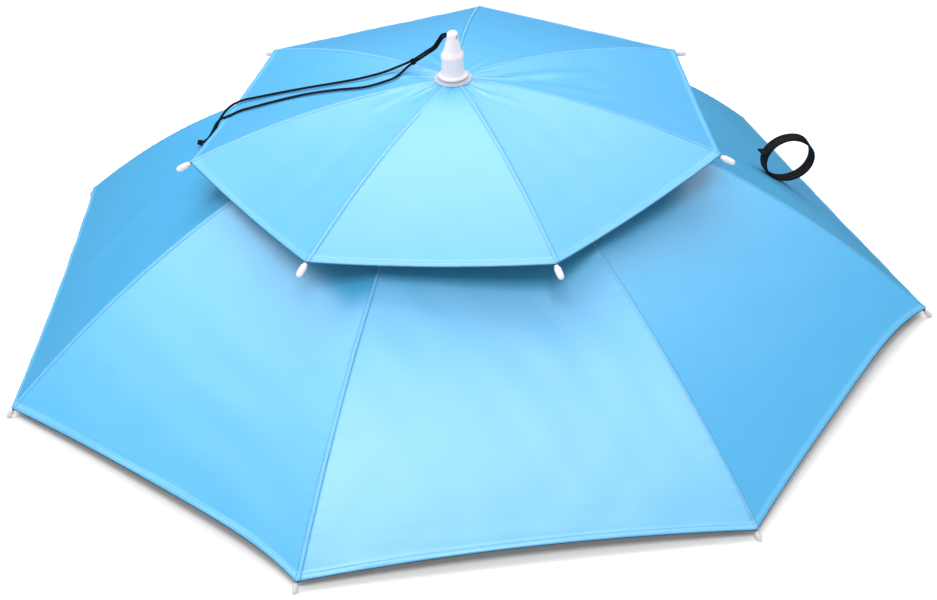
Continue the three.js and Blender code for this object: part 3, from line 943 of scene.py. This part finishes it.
for own, node, finish in (
    (lowerTier, "lower_canopy", finishes["lowerCloth"]),
    (upperTier, "upper_canopy", finishes["upperCloth"]),
):
    canopy, area = addCanopy(own, node + "_cloth", finish)
    width = 2 * own["reach"]
    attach(canopy, "root")
    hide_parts(node)
    print(node, "sheet", round(area, 4), "m2,", len(canopy.data.polygons), "faces")


# stitches: one bowed thread, repeated along needle lines by Geometry Nodes
stitchForm = {
    "Pitch": 0.0032,
    "Length": 0.0025,
    "Thickness": 0.00042,
    "Bow": 0.00038,
    "Sink": 0.00012,
}


# needle lines of all seams and hems, with the cloth's normals
def needleLines(own):
    start = own["holeRadius"] / own["reach"] + (0.03 if own["name"] == "upper" else 0.004)
    seam = np.linspace(start, 0.994, 150)
    hem = np.full(110, 1 - sewing["hemNeedleLine"] / (own["reach"] * math.sqrt(1 + fallOf(own, 1) ** 2)))
    lines = []
    for panel in range(tierForm["panels"]):
        beside = np.minimum(sewing["needleLine"] / chordAt(own, panel, seam), 0.3)
        for across, along in ((beside, seam), (np.linspace(0.018, 0.995, 110), hem)):
            points, folds, normals = outerFace(own, panel, across, along)
            lines.append((points, normals))
    return lines


# guide for Geometry Nodes: loose edges along each line, with a direction for every point
def lineObject(name, lines):
    points, edges, aims = [], [], []
    for linePoints, lineAims in lines:
        base = len(points)
        points += [tuple(point) for point in linePoints]
        aims += [part for aim in lineAims for part in aim]
        edges += [(base + i, base + i + 1) for i in range(len(linePoints) - 1)]
    mesh = bpy.data.meshes.new(name)
    mesh.from_pydata(points, edges, [])
    layer = mesh.attributes.new("aim", "FLOAT_VECTOR", "POINT")
    layer.data.foreach_set("vector", np.array(aims, dtype=np.float32))
    guide = bpy.data.objects.new(name, mesh)
    bpy.context.collection.objects.link(guide)
    return guide


# a node tree with named inputs, and a short way to add and link its nodes
class NodeTree:
    def __init__(self, name, sizes):
        self.tree = bpy.data.node_groups.new(name, "GeometryNodeTree")
        self.keys = {}
        for way in ("INPUT", "OUTPUT"):
            self.tree.interface.new_socket("Geometry", in_out=way, socket_type="NodeSocketGeometry")
        for label, value in sizes.items():
            socket = self.tree.interface.new_socket(label, in_out="INPUT", socket_type="NodeSocketFloat")
            socket.default_value = value
            self.keys[label] = socket.identifier
        self.given = self.tree.nodes.new("NodeGroupInput").outputs

    def aim(self):
        return self.add("GeometryNodeInputNamedAttribute", {"Name": "aim"}, {"data_type": "FLOAT_VECTOR"})

    def size(self, label):
        return next(socket for socket in self.given if socket.identifier == self.keys[label])

    def add(self, kind, inputs=None, settings=None, out=0):
        return addNode(self.tree, kind, inputs, settings).outputs[out]

    def maths(self, operation, first, second):
        return self.add("ShaderNodeMath", {0: first, 1: second}, {"operation": operation})

    def turned(self, inputs, settings):
        return self.add("FunctionNodeAlignRotationToVector", inputs, settings)

    def copies(self, points, one, turned, scale=(1, 1, 1)):
        inputs = {"Points": points, "Instance": one, "Rotation": turned, "Scale": scale}
        return self.add("GeometryNodeInstanceOnPoints", inputs)

    # a round bar along each curve
    def bar(self, curve, radius, sides):
        size = {"Resolution": sides, "Radius": radius}
        ring = self.add("GeometryNodeCurvePrimitiveCircle", size, {"mode": "RADIUS"})
        return self.add("GeometryNodeCurveToMesh", {"Curve": curve, "Profile Curve": ring, "Fill Caps": True})

    def close(self, geometry, finish):
        real = self.add("GeometryNodeRealizeInstances", {"Geometry": geometry})
        coloured = self.add("GeometryNodeSetMaterial", {"Geometry": real, "Material": finish})
        self.tree.links.new(coloured, self.tree.nodes.new("NodeGroupOutput").inputs[0])
        return self


def stitchTree(finish):
    net = NodeTree("thread_stitches", stitchForm)
    low = net.maths("MULTIPLY", net.size("Sink"), -1.0)
    ends = [net.maths("MULTIPLY", net.size("Length"), share) for share in (-0.5, 0.5)]
    start, end = (net.add("ShaderNodeCombineXYZ", {"X": reach, "Z": low}) for reach in ends)
    middle = net.add("ShaderNodeCombineXYZ", {"Z": net.maths("MULTIPLY", net.size("Bow"), 2.0)})
    points = {"Resolution": 3, "Start": start, "Middle": middle, "End": end}
    bowed = net.add("GeometryNodeCurveQuadraticBezier", points)
    thread = net.bar(bowed, net.maths("MULTIPLY", net.size("Thickness"), 0.5), 5)
    curve = net.add("GeometryNodeMeshToCurve", {"Mesh": net.given[0]})
    spacing = {"Curve": curve, "Length": net.size("Pitch")}
    spaced = net.add("GeometryNodeResampleCurve", spacing, {"mode": "LENGTH"})
    ahead = net.turned({"Vector": net.add("GeometryNodeInputTangent")}, {"axis": "X"})
    upright = net.turned({"Rotation": ahead, "Vector": net.aim()}, {"axis": "Z", "pivot_axis": "X"})
    return net.close(net.copies(spaced, thread, upright), finish)


# drawn wire: a round bar along each line of the guide
def wireTree(name, sides, finish):
    net = NodeTree(name, {"Wire Radius": 0.001})
    curve = net.add("GeometryNodeMeshToCurve", {"Mesh": net.given[0]})
    return net.close(net.bar(curve, net.size("Wire Radius"), sides), finish)


# one moulding set on every point of the guide, its +Z along the point's aim
def mouldingTree(name, moulding, finish):
    net = NodeTree(name, {"Size": 1.0})
    one = net.add("GeometryNodeObjectInfo", {"Object": moulding}, {"transform_space": "ORIGINAL"}, "Geometry")
    turned = net.turned({"Vector": net.aim()}, {"axis": "Z"})
    scale = net.add("ShaderNodeCombineXYZ", {axis: net.size("Size") for axis in "XYZ"})
    return net.close(net.copies(net.given[0], one, turned, scale), finish)


def madeByNodes(name, lines, net, sizes, finish):
    guide = lineObject(name + "_guide", lines)
    modifier = guide.modifiers.new("nodes", "NODES")
    modifier.node_group = net.tree
    for label, value in sizes.items():
        modifier[net.keys[label]] = value
    mesh = shapedMesh(guide)
    guide.modifiers.remove(modifier)
    bpy.data.objects.remove(guide)
    mesh.shade_smooth()
    return addMesh(name, mesh, finishes[finish])


stitches = stitchTree(finishes["thread"])
for own in (lowerTier, upperTier):
    stitched = madeByNodes(own["name"] + "_stitches", needleLines(own), stitches, stitchForm, "thread")
    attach(stitched, "root")
    print(own["name"], "stitches:", len(stitched.data.polygons), "faces")


# ribs: drawn wire, smooth, on the line of the CAD ribs
def ribLinePoint(own, rib, share):
    held = min(share, 1)
    pitch = math.atan(fallOf(own, held))
    depth = float(ribDepth(own, held))
    past = (share - held) * own["reach"]
    out = own["reaches"][rib] * held - depth * math.sin(pitch) + past * math.cos(pitch)
    height = float(ridgeHeight(own, held)) - depth * math.cos(pitch) - past * math.sin(pitch)
    return aroundAxis(out, own["angles"][rib], height)


ribForm = {"sides": 14, "steps": 48}
wires = wireTree("drawn_wires", ribForm["sides"], finishes["steel"])


def addRibs(own):
    hubLow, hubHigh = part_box("hub")
    inner = (float(ribDepth(own, 0)) + own["ribRadius"]) * math.sin(math.atan(fallOf(own, 0)))
    end = 1 + (tipStart(own) + tierForm["ribInTip"]) / own["reach"]
    lines = []
    for rib in range(tierForm["panels"]):
        start = ((hubHigh[0] - hubLow[0]) / 2 + tierForm["seatGap"] + inner) / own["reaches"][rib]
        shares = np.linspace(start, end, ribForm["steps"] + 1)
        lines.append(([ribLinePoint(own, rib, float(share)) for share in shares], [(0, 0, 1)] * len(shares)))
    return madeByNodes(own["name"] + "_rib_wires", lines, wires, {"Wire Radius": own["ribRadius"]}, "steel")


# moulded tip: radius as a share of its own, place along its length
tipProfile = [
    (0.50, 0.0), (0.60, 0.0), (0.66, 0.012), (0.68, 0.04), (0.66, 0.09), (0.66, 0.13), (0.74, 0.155),
    (0.90, 0.175), (0.98, 0.21), (1.0, 0.27), (1.0, 0.45), (1.0, 0.62), (0.98, 0.71), (0.93, 0.79),
    (0.84, 0.87), (0.68, 0.935), (0.45, 0.98), (0.2, 0.997), (0.0, 1.0),
]


def addTips(own, finish):
    bore, length = own["ribRadius"] + tierForm["tipBoreGap"], own["tipLength"]
    rows = [(0, 0.5 * length), (bore, 0.5 * length), (bore, 0)]
    rows += [(share * own["tipRadius"], along * length) for share, along in tipProfile[1:]]
    moulding = addShape(own["name"] + "_tip_moulding", turnedShape(rows, 28), finish)
    seats = []
    for rib in range(tierForm["panels"]):
        start = ribLinePoint(own, rib, 1 + tipStart(own) / own["reach"])
        end = ribLinePoint(own, rib, 1 + (tipStart(own) + length) / own["reach"])
        seats.append(([start], [(end - start).normalized()]))
    net = mouldingTree(own["name"] + "_tips_on_ribs", moulding, finishes[finish])
    tips = madeByNodes(own["name"] + "_rib_tips", seats, net, {"Size": 1.0}, finish)
    bpy.data.objects.remove(moulding)
    # the foot that the hat stands on is worn flat
    for corner in tips.data.vertices:
        corner.co.z = max(corner.co.z, 0)
    return tips


for own, finish, slot in ((lowerTier, "greyPlastic", "grey_tip"), (upperTier, "whitePlastic", "white_tip")):
    ribs, tips = addRibs(own), addTips(own, finish)
    for piece, kind in ((ribs, "rib"), (tips, "tip")):
        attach(piece, "root")
        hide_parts(*[f"{own['name']}_{kind}_{i}" for i in range(1, 8)])
print("ribs and tips made")


# crown: hub, washer and ferrule on the axis
hubLow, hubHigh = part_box("hub")
washerLow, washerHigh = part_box("ferrule_washer")
ferruleLow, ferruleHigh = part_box("ferrule")
crownForm = {
    "sides": 72,
    "hubRadius": (hubHigh[0] - hubLow[0]) / 2,
    "hubTop": washerLow[2] - 0.0031,
    "studRadius": 0.0042,
    "boreGap": 0.0003,
    "washerRadius": (washerHigh[0] - washerLow[0]) / 2,
    "ferruleRadius": 0.0108,
    "flangeRadius": (ferruleHigh[0] - ferruleLow[0]) / 2,
    "eyeRadius": 0.0025,
    "eyeBelowTop": 0.005,
    "eyeAngle": 150,
    "eyeReach": 0.02,
    "roundedEdge": 0.0003,
    "straightFoot": 0.001,
    "lean": 0.05,
}
# share of the barrel's radius, share of the whole height
ferruleProfile = [
    (1.13, 0.056), (1.07, 0.078), (1.04, 0.105), (1.01, 0.13), (1.0, 0.17), (0.995, 0.30), (1.005, 0.40),
    (1.035, 0.435), (1.04, 0.455), (1.03, 0.475), (0.96, 0.52), (0.86, 0.555), (0.79, 0.59), (0.72, 0.65),
    (0.65, 0.72), (0.60, 0.77), (0.55, 0.81), (0.525, 0.85), (0.515, 0.90), (0.50, 0.94), (0.46, 0.97),
    (0.37, 0.99), (0.2, 0.998), (0.0, 1.0),
]


def addFerrule(own):
    bottom, height = ferruleLow[2], ferruleHigh[2] - ferruleLow[2]
    bore, flange = own["studRadius"] + own["boreGap"], own["flangeRadius"]
    boreTop = hubHigh[2] + own["boreGap"]
    rows = [
        (0, boreTop), (bore, boreTop), (bore, bottom), (flange - 0.0005, bottom),
        (flange, bottom + 0.0005), (flange, bottom + 0.0009), (flange - 0.0006, bottom + 0.0014),
    ]
    rows += [(share * own["ferruleRadius"], bottom + along * height) for share, along in ferruleProfile]
    ferrule = addShape("ferrule_moulded", turnedShape(rows, own["sides"]), "milkyPlastic")
    eye, reach = own["eyeRadius"], own["eyeReach"]
    drillRows = [(0, -reach), (eye, -reach), (eye, reach), (0, reach)]
    drill = bpy.data.objects.new("drill", meshFrom(*turnedShape(drillRows, 32)))
    bpy.context.collection.objects.link(drill)
    aim = Vector((0, 0, 1)).rotation_difference(aroundAxis(1, math.radians(own["eyeAngle"]), 0))
    eyePlace = Matrix.Translation((0, 0, ferruleHigh[2] - own["eyeBelowTop"]))
    drill.data.transform(eyePlace @ aim.to_matrix().to_4x4())
    cut = ferrule.modifiers.new("eye", "BOOLEAN")
    cut.operation = "DIFFERENCE"
    cut.solver = "EXACT"
    cut.object = drill
    bevel = ferrule.modifiers.new("round_edges", "BEVEL")
    bevel.width = own["roundedEdge"]
    bevel.segments = 3
    bevel.limit_method = "ANGLE"
    bevel.angle_limit = math.radians(35)
    mesh = shapedMesh(ferrule)
    ferrule.modifiers.clear()
    ferrule.data = mesh
    bpy.data.objects.remove(drill)
    # the spike leans a little above its seat
    for corner in mesh.vertices:
        corner.co.x += own["lean"] * max(0.0, corner.co.z - boreTop - own["straightFoot"])
    mesh.shade_smooth()
    return ferrule


def addWasher(own):
    low, high, wide = washerLow[2], washerHigh[2], own["washerRadius"]
    bore = own["studRadius"] + own["boreGap"]
    rows = [
        (bore, low + 0.00035), (wide - 0.0003, low), (wide, low + 0.0003), (wide, low + 0.0007),
        (wide - 0.0004, low + 0.0011), (own["flangeRadius"], high), (bore, high),
    ]
    shape = turnedShape(rows, own["sides"], closed=True)
    return addShape("ferrule_washer_moulded", shape, "clearPlastic")


def addHub(own):
    radius, stud, bottom, top, studTop = own["hubRadius"], own["studRadius"], hubLow[2], own["hubTop"], hubHigh[2]
    rows = [
        (0, bottom + 0.0016), (0.0035, bottom + 0.0016), (0.0045, bottom + 0.0006), (0.0060, bottom),
        (radius - 0.0022, bottom), (radius - 0.0006, bottom + 0.0008), (radius, bottom + 0.0026),
        (radius, bottom + 0.0062), (radius - 0.0012, bottom + 0.0072), (radius - 0.0012, bottom + 0.0092),
        (radius, bottom + 0.0102), (radius, top - 0.0008), (radius - 0.0008, top), (stud + 0.0006, top),
        (stud, top + 0.0006), (stud, studTop - 0.0006), (stud - 0.0006, studTop), (0, studTop),
    ]
    return addShape("hub_moulded", turnedShape(rows, own["sides"]), "whitePlastic")


for piece, node, slot in (
    (addFerrule(crownForm), "ferrule", "ferrule_plastic"),
    (addWasher(crownForm), "ferrule_washer", "clear_washer"),
    (addHub(crownForm), "hub", "hub_plastic"),
):
    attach(piece, "root")
    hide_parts(node)
print("crown made")


# head band: ribbed elastic, softly gathered, and the wires that carry it
bandLow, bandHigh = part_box("head_band")
bandForm = {
    "outer": (bandHigh[0] - bandLow[0]) / 2,
    "wall": 0.002,
    "low": bandLow[2],
    "high": bandHigh[2],
    "gathers": 84,
    "gatherDepth": 0.0004,
    "columns": 672,
    "rows": 14,
}
wireForm = {"radius": 0.001, "reach": 0.170, "onBand": 0.024, "bend": 0.009}


def addHeadBand(own):
    sides, rows, tall = own["columns"], own["rows"] + 1, own["high"] - own["low"]
    points = []
    for sheet in (0, 1):
        for row in range(rows):
            share = 1 - row / (rows - 1)
            edge = min(1.0, min(share, 1 - share) / 0.07)
            inner = sheet * own["wall"] * (0.55 + 0.25 * edge)
            wave = 0.00035 if 0 < row < rows - 1 else 0
            for k in range(sides):
                turn = fullTurn * k / sides
                gather = own["gatherDepth"] * (math.sin(own["gathers"] * turn + 0.8 * math.sin(5 * turn)) - 1)
                radius = own["outer"] + gather * 0.5 - 0.0003 * (1 - edge) - inner
                height = own["low"] + tall * share + wave * math.sin(own["gathers"] * turn * 0.5)
                points.append(aroundAxis(radius, turn, height))

    def mapped(row, column, step):
        return (0.5 - row / (rows - 1)) * tall, (column + step) / sides * fullTurn * own["outer"]

    return addMesh("head_band_elastic", meshFrom(points, *shellFaces(rows, sides, mapped)), finishes["elastic"])


# each stay runs up the band, bends outwards and ends under its rib
def addStays(own):
    lines = []
    steps = [i / 12 for i in range(1, 13)]
    for rib in range(tierForm["panels"]):
        share = own["reach"] / lowerTier["reaches"][rib]
        pitch = math.atan(fallOf(lowerTier, share))
        under = lowerTier["ribRadius"] + tierForm["seatGap"] + own["radius"]
        middle = ribLinePoint(lowerTier, rib, share)
        top = Vector((middle.xy.length - under * math.sin(pitch), middle.z - under * math.cos(pitch)))
        low = Vector((bandForm["outer"] + tierForm["seatGap"] + own["radius"], bandForm["high"]))
        corner = low + Vector((0, own["bend"]))
        bendEnd = corner + own["bend"] * (top - corner).normalized()
        flat = [low - Vector((0, own["onBand"] * (1 - i / 6))) for i in range(7)]
        flat += [low.lerp(corner, t).lerp(corner.lerp(bendEnd, t), t) for t in steps]
        flat += [bendEnd.lerp(top, t) for t in steps]
        line = [aroundAxis(out, lowerTier["angles"][rib], height) for out, height in flat]
        lines.append((line, [(0, 0, 1)] * len(line)))
    return madeByNodes("stay_wires", lines, wires, {"Wire Radius": own["radius"]}, "steel")


headBand, stays = addHeadBand(bandForm), addStays(wireForm)
for piece, nodes, slot in (
    (headBand, ["head_band"], "band_elastic"),
    (stays, [f"stay_{i}" for i in range(1, 8)], "rib_steel"),
):
    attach(piece, "root")
    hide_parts(*nodes)
print("head band and stays made")


# closure strap: a ring of webbing sewn to itself, standing on the right panel
strapForm = {
    "panel": 4,
    "across": 0.356,
    "along": 0.784,
    "ringRadius": 0.0272,
    "ringRise": 0.0228,
    "ringTilt": -14,
    "width": 0.0135,
    "wall": 0.0016,
    "tail": 0.007,
    "tailRise": 0.006,
    "lean": 0.22,
    "leanAt": 62,
    "leanSpread": 0.55,
    "steps": 120,
}


def strapSection(width, wall):
    half, deep, edge = width / 2, wall / 2, wall * 0.42
    corners = []
    for x, y in ((half, -deep), (half, deep), (-half, deep), (-half, -deep)):
        sx, sy = math.copysign(1, x), math.copysign(1, y)
        first = [(x - sx * edge, y), (x - sx * edge * 0.3, y - sy * edge * 0.3), (x, y - sy * edge)]
        corners += first if sx * sy < 0 else first[::-1]
    return corners


def addStrap(own):
    panel, across, along = own["panel"], np.array([own["across"]]), np.array([own["along"]])
    seat = Vector(clothPoints(lowerTier, panel, across, along)[0])
    normal = Vector(clothNormals(lowerTier, panel, across, along)[0])
    axis = Vector((normal.y, -normal.x, 0)).normalized()
    tilt = Matrix.Rotation(math.radians(own["ringTilt"]), 3, axis)
    outward = tilt @ Vector((normal.x, normal.y, 0)).normalized()
    upward = axis.cross(outward)
    radius, rise = own["ringRadius"], own["ringRise"]
    support = math.hypot(radius * normal.dot(outward), rise * normal.dot(upward))
    middle = seat + normal * (support + own["wall"] / 2 + tierForm["seatGap"])
    section = strapSection(own["width"], own["wall"])
    line, ups = [], []
    for i in range(own["steps"]):
        turn = fullTurn * i / own["steps"]
        away = (outward * math.cos(turn) / radius + upward * math.sin(turn) / rise).normalized()
        # the webbing leans most at one place of the ring
        past = (turn - math.radians(own["leanAt"]) + math.pi) % fullTurn - math.pi
        lean = own["lean"] * math.exp(-(past / own["leanSpread"]) ** 2)
        line.append(middle + outward * radius * math.cos(turn) + upward * rise * math.sin(turn))
        ups.append((away * math.cos(lean) + axis * math.sin(lean)).normalized())
    # the free end starts inside the ring's wall
    sunk = own["wall"] * 0.4
    ringSide = radius * math.sqrt(1 - (own["tailRise"] / rise) ** 2) - sunk
    tailLine = [
        middle - outward * (ringSide + (own["tail"] + sunk) * i / 8) + upward * own["tailRise"]
        for i in range(9)
    ]
    shapes = []
    for shape in (sweep(line, section, ups, closed=True), sweep(tailLine, section, [upward] * 9)):
        points, faces, clothMap = shape
        shapes.append((points, faces, [((u - 0.5) * 2 * own["width"], v) for u, v in clothMap]))
    return addShape("closure_strap_webbing", joinShapes(shapes), "webbing")


strap = addStrap(strapForm)
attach(strap, "root")
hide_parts("closure_strap")
print("closure strap made")


# pale floor and soft studio light
studio = {
    "floorSize": 14.0,
    "floorHeight": -0.0002,
    "floorTone": colour(0.93, 0.935, 0.94),
    "floorGlow": 0.12,
    "worldTone": colour(0.97, 0.98, 1.0),
    "worldStrength": 0.48,
    "aim": (0, 0, 0.12),
    # place, size, power and tone of each softbox
    "lights": {
        "key_softbox": ((0.05, -1.8, 2.62), 1.1, 41, (1.0, 1.0, 1.0)),
        "top_softbox": ((0.0, 1.25, 2.6), 2.2, 50, (1.0, 0.95, 0.975)),
        "left_softbox": ((-1.53, 0.1, 1.88), 1.4, 19, (1.0, 0.97, 0.98)),
        "right_softbox": ((1.62, 0.95, 1.55), 1.2, 7, (1.0, 0.97, 0.98)),
    },
}


def addFloor(own):
    finish = Finish("pale_floor")
    mottle = finish.noise(3.0, 3.0)
    material = finish.close({
        "Base Color": finish.blend(mottle * 0.25, own["floorTone"], colour(0.9, 0.905, 0.912)),
        "Roughness": 0.75 + mottle * 0.1,
        "Normal": finish.bump(finish.noise(400.0, 2.0), 0.0001, 0.2),
        "Specular IOR Level": 0.2,
        "Emission Color": own["floorTone"],
        "Emission Strength": own["floorGlow"],
    })
    half = own["floorSize"] / 2
    corners = [(x * half, y * half, own["floorHeight"]) for x, y in ((-1, -1), (1, -1), (1, 1), (-1, 1))]
    floor = addMesh("studio_floor", meshFrom(corners, [(0, 1, 2, 3)]), material)
    floor.visible_glossy = False


def addLights(own):
    world = bpy.data.worlds.new("studio_air")
    world.use_nodes = True
    sky = world.node_tree.nodes["Background"]
    sky.inputs["Color"].default_value = own["worldTone"]
    sky.inputs["Strength"].default_value = own["worldStrength"]
    world.cycles_visibility.glossy = False
    bpy.context.scene.world = world
    for name, (place, size, power, tone) in own["lights"].items():
        lamp = bpy.data.lights.new(name, "AREA")
        lamp.shape = "SQUARE"
        lamp.size = size
        lamp.energy = power
        lamp.color = tone
        light = bpy.data.objects.new(name, lamp)
        light.location = place
        aim = Vector(own["aim"]) - Vector(place)
        light.rotation_mode = "QUATERNION"
        light.rotation_quaternion = aim.to_track_quat("-Z", "Y")
        bpy.context.collection.objects.link(light)


addFloor(studio)
addLights(studio)
print("studio lit")
